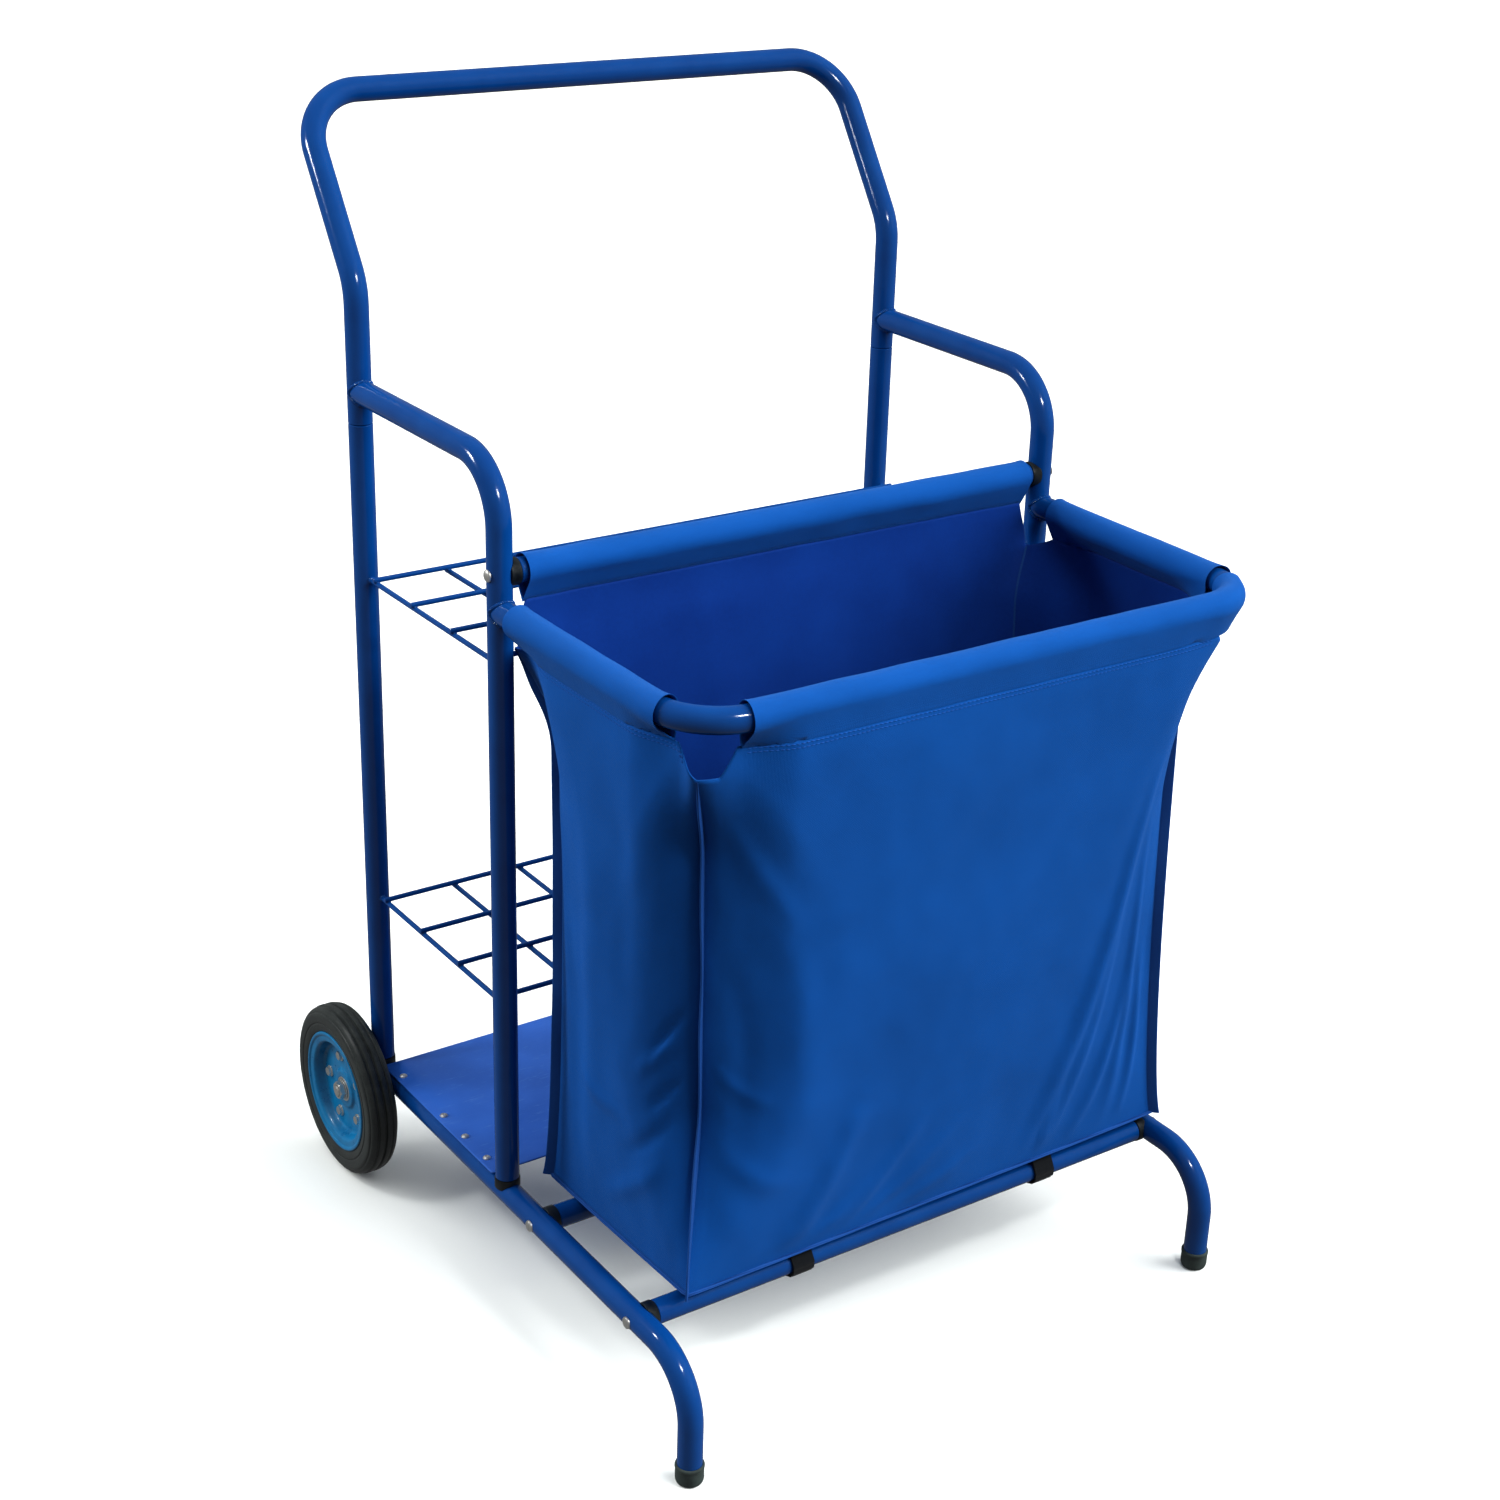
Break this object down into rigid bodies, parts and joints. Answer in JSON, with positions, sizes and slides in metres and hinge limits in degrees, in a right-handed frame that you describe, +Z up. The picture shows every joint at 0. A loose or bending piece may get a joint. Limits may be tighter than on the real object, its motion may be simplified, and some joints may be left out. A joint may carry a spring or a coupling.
{
  "type": "equipment cart",
  "caption": "Two-wheeled cart of bent tube with a hanging cloth bag in front and a wire-grid rack for bats behind it, pushed by a leaning handle.",
  "frame": {"origin": "on the ground, at the middle of the cart's width and length", "axes": "+X to the cart's right side, +Y to the back where the wheels and handle are, +Z up"},
  "size_m": [0.7684, 0.7904, 1.2136],
  "materials": {
    "powder_coat": "glossy blue powder coat",
    "sheet_coat": "blue coat on sheet",
    "rim_coat": "light blue paint",
    "black_plastic": "moulded, matt",
    "black_rubber": "matt",
    "tyre_rubber": "matt, grooved tread",
    "zinc_steel": "zinc plated",
    "nylon": "woven nylon",
    "hook_and_loop": "hook-and-loop tape"
  },
  "bodies": {
    "frame": {"axle": "zinc_steel", "axle_bracket_left": "powder_coat", "axle_bracket_right": "powder_coat", "axle_nut_left": "zinc_steel", "axle_nut_right": "zinc_steel", "axle_spacer_left": "zinc_steel", "axle_spacer_right": "zinc_steel", "axle_washer_left": "zinc_steel", "axle_washer_right": "zinc_steel", "back_bar_bolt_left": "zinc_steel", "back_bar_bolt_right": "zinc_steel", "back_bar_saddle_left": "black_plastic", "back_bar_saddle_right": "black_plastic", "bag": "nylon", "bag_back_bar": "powder_coat", "bag_ring": "powder_coat", "bag_strap_left": "hook_and_loop", "bag_strap_right": "hook_and_loop", "base_rail_left": "powder_coat", "base_rail_right": "powder_coat", "bat_floor_plate": "sheet_coat", "cross_bar_front": "powder_coat", "cross_bar_middle": "powder_coat", "foot_cap_left": "black_rubber", "foot_cap_right": "black_rubber", "front_bar_bolt_left": "zinc_steel", "front_bar_bolt_right": "zinc_steel", "front_bar_saddle_left": "black_plastic", "front_bar_saddle_right": "black_plastic", "front_upright_bolt_left": "zinc_steel", "front_upright_bolt_right": "zinc_steel", "front_upright_saddle_left": "black_plastic", "front_upright_saddle_right": "black_plastic", "handle_tube": "powder_coat", "lower_wire_grid": "powder_coat", "middle_bar_bolt_left": "zinc_steel", "middle_bar_bolt_right": "zinc_steel", "middle_bar_saddle_left": "black_plastic", "middle_bar_saddle_right": "black_plastic", "rail_end_plug_left": "black_plastic", "rail_end_plug_right": "black_plastic", "rear_upright_bolt_left": "zinc_steel", "rear_upright_bolt_right": "zinc_steel", "rear_upright_left": "powder_coat", "rear_upright_right": "powder_coat", "rear_upright_saddle_left": "black_plastic", "rear_upright_saddle_right": "black_plastic", "side_hoop_left": "powder_coat", "side_hoop_right": "powder_coat", "upper_wire_guard": "powder_coat"},
    "left_wheel": {"left_tyre": "tyre_rubber", "left_rim_outer": "rim_coat", "left_rim_inner": "rim_coat", "left_hub_sleeve": "zinc_steel"},
    "right_wheel": {"right_tyre": "tyre_rubber", "right_rim_outer": "rim_coat", "right_rim_inner": "rim_coat", "right_hub_sleeve": "zinc_steel"}
  },
  "joints": [
    {"name": "left_wheel_spin", "type": "hinge", "parent": "frame", "child": "left_wheel", "pos_m": [-0.3662, 0.29253, 0.1], "axis": [1, 0, 0], "continuous": true},
    {"name": "right_wheel_spin", "type": "hinge", "parent": "frame", "child": "right_wheel", "pos_m": [0.3662, 0.29253, 0.1], "axis": [1, 0, 0], "continuous": true}
  ]
}
